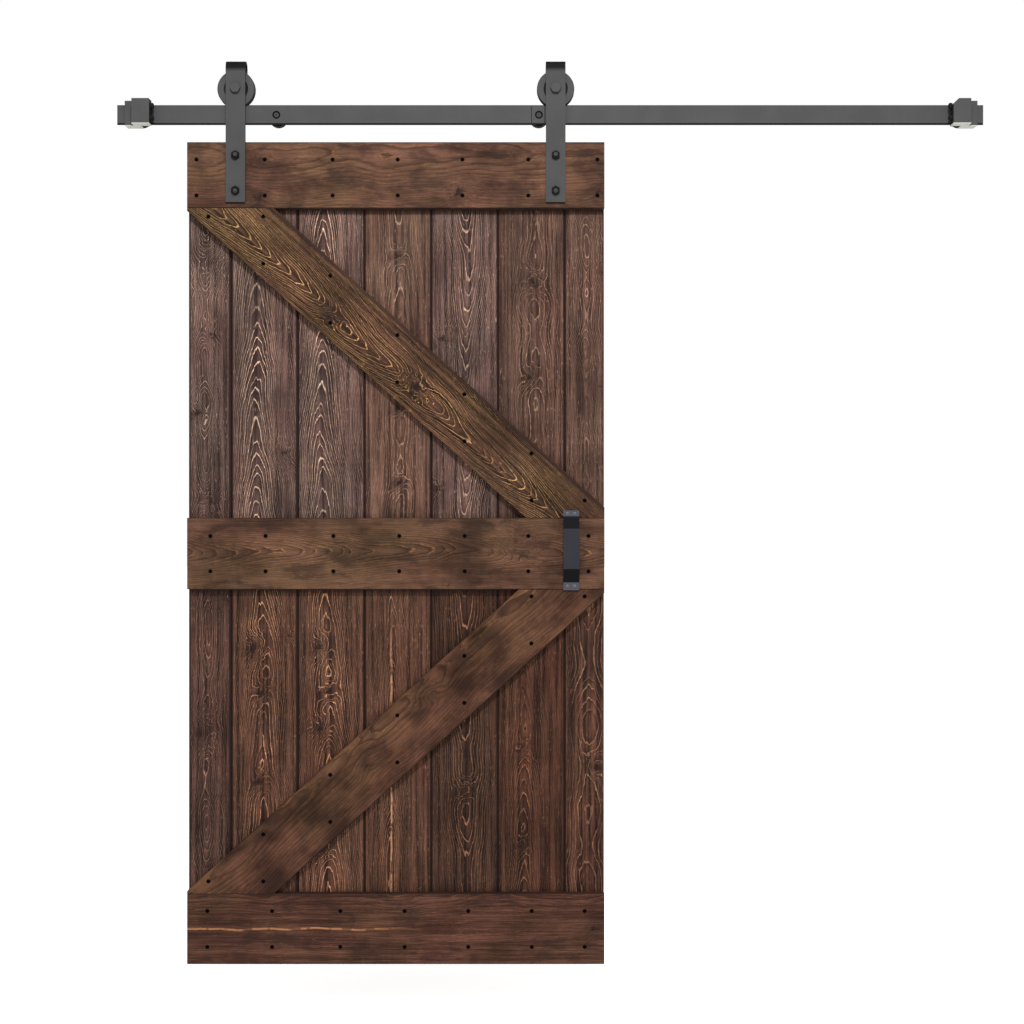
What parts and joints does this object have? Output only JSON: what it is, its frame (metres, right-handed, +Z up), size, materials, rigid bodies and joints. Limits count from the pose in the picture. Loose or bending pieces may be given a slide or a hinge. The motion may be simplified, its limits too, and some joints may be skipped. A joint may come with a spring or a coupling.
{
  "type": "sliding barn door",
  "caption": "Plank barn door leaf with a K-shaped frame, hung by two J-straps and grooved wheels from a flat wall rail with end stops and a pull handle.",
  "frame": {"origin": "where the axis of the lag screw in the rail joint meets the wall plane", "axes": "+X along the rail to the open side, +Y into the wall, +Z up; the door's front faces -Y"},
  "size_m": [2.2521, 0.1502, 2.3456],
  "materials": {
    "rail_coat": "matte powder coat",
    "standoff_coat": "matte powder coat",
    "fixing_steel": "matte",
    "stop_coat": "matte powder coat",
    "rubber": "matte",
    "nylon": "matte",
    "black_steel": "satin black",
    "wood_screw": "matte black",
    "handle_coat": "satin powder coat",
    "strap_coat": "matte powder coat",
    "zinc": "zinc plated",
    "axle_coat": "matte",
    "bearing_steel": "satin",
    "wheel_nylon": "matte",
    "plank_1": "stained and brushed",
    "plank_2": "stained and brushed",
    "plank_3": "stained and brushed",
    "plank_4": "stained and brushed",
    "plank_5": "stained and brushed",
    "plank_6": "stained and brushed",
    "plank_7": "stained and brushed",
    "top_rail": "stained and brushed",
    "middle_rail": "stained and brushed",
    "bottom_rail": "stained and brushed",
    "upper_brace": "stained and brushed",
    "lower_brace": "stained and brushed"
  },
  "bodies": {
    "track": {"wall_rail_left": "rail_coat", "wall_rail_right": "rail_coat", "standoff_left_end": "standoff_coat", "standoff_left": "standoff_coat", "standoff_joint": "standoff_coat", "standoff_right_end": "standoff_coat", "lag_screw_left_end": "fixing_steel", "lag_screw_left": "fixing_steel", "lag_screw_joint": "fixing_steel", "lag_screw_right_end": "fixing_steel", "left_stop_clamp": "stop_coat", "left_stop_block": "stop_coat", "left_stop_bumpers": "rubber", "left_stop_pad": "nylon", "left_stop_screws": "black_steel", "right_stop_clamp": "stop_coat", "right_stop_block": "stop_coat", "right_stop_bumpers": "rubber", "right_stop_pad": "nylon", "right_stop_screws": "black_steel"},
    "door": {"plank_1": "plank_1", "plank_2": "plank_2", "plank_3": "plank_3", "plank_4": "plank_4", "plank_5": "plank_5", "plank_6": "plank_6", "plank_7": "plank_7", "top_rail": "top_rail", "middle_rail": "middle_rail", "bottom_rail": "bottom_rail", "upper_brace": "upper_brace", "lower_brace": "lower_brace", "rail_screws": "wood_screw", "brace_screws": "wood_screw", "pull_handle": "handle_coat", "handle_screws": "black_steel", "left_strap": "strap_coat", "left_strap_bolts": "black_steel", "left_strap_washers": "zinc", "left_strap_nuts": "zinc", "left_axle_bolt": "axle_coat", "left_axle_spacers": "bearing_steel", "left_bearing_ring": "bearing_steel", "left_axle_nut": "axle_coat", "right_strap": "strap_coat", "right_strap_bolts": "black_steel", "right_strap_washers": "zinc", "right_strap_nuts": "zinc", "right_axle_bolt": "axle_coat", "right_axle_spacers": "bearing_steel", "right_bearing_ring": "bearing_steel", "right_axle_nut": "axle_coat"},
    "left_wheel": {"left_wheel": "wheel_nylon", "left_bearing": "bearing_steel"},
    "right_wheel": {"right_wheel": "wheel_nylon", "right_bearing": "bearing_steel"}
  },
  "joints": [
    {"name": "door_slide", "type": "slide", "parent": "track", "child": "door", "axis": [1, 0, 0], "range_m": [-0.1855, 0.9917]},
    {"name": "left_wheel_turn", "type": "hinge", "parent": "door", "child": "left_wheel", "pos_m": [-0.7867, -0.0392, 0.06575], "axis": [0, 1, 0], "range_deg": [-265.71, 1420.51]},
    {"name": "right_wheel_turn", "type": "hinge", "parent": "door", "child": "right_wheel", "pos_m": [0.0433, -0.0392, 0.06575], "axis": [0, 1, 0], "range_deg": [-265.71, 1420.51]}
  ],
  "couplings": [
    {"joint": "left_wheel_turn", "follows": "door_slide", "rad_per_m": 25},
    {"joint": "right_wheel_turn", "follows": "door_slide", "rad_per_m": 25}
  ]
}
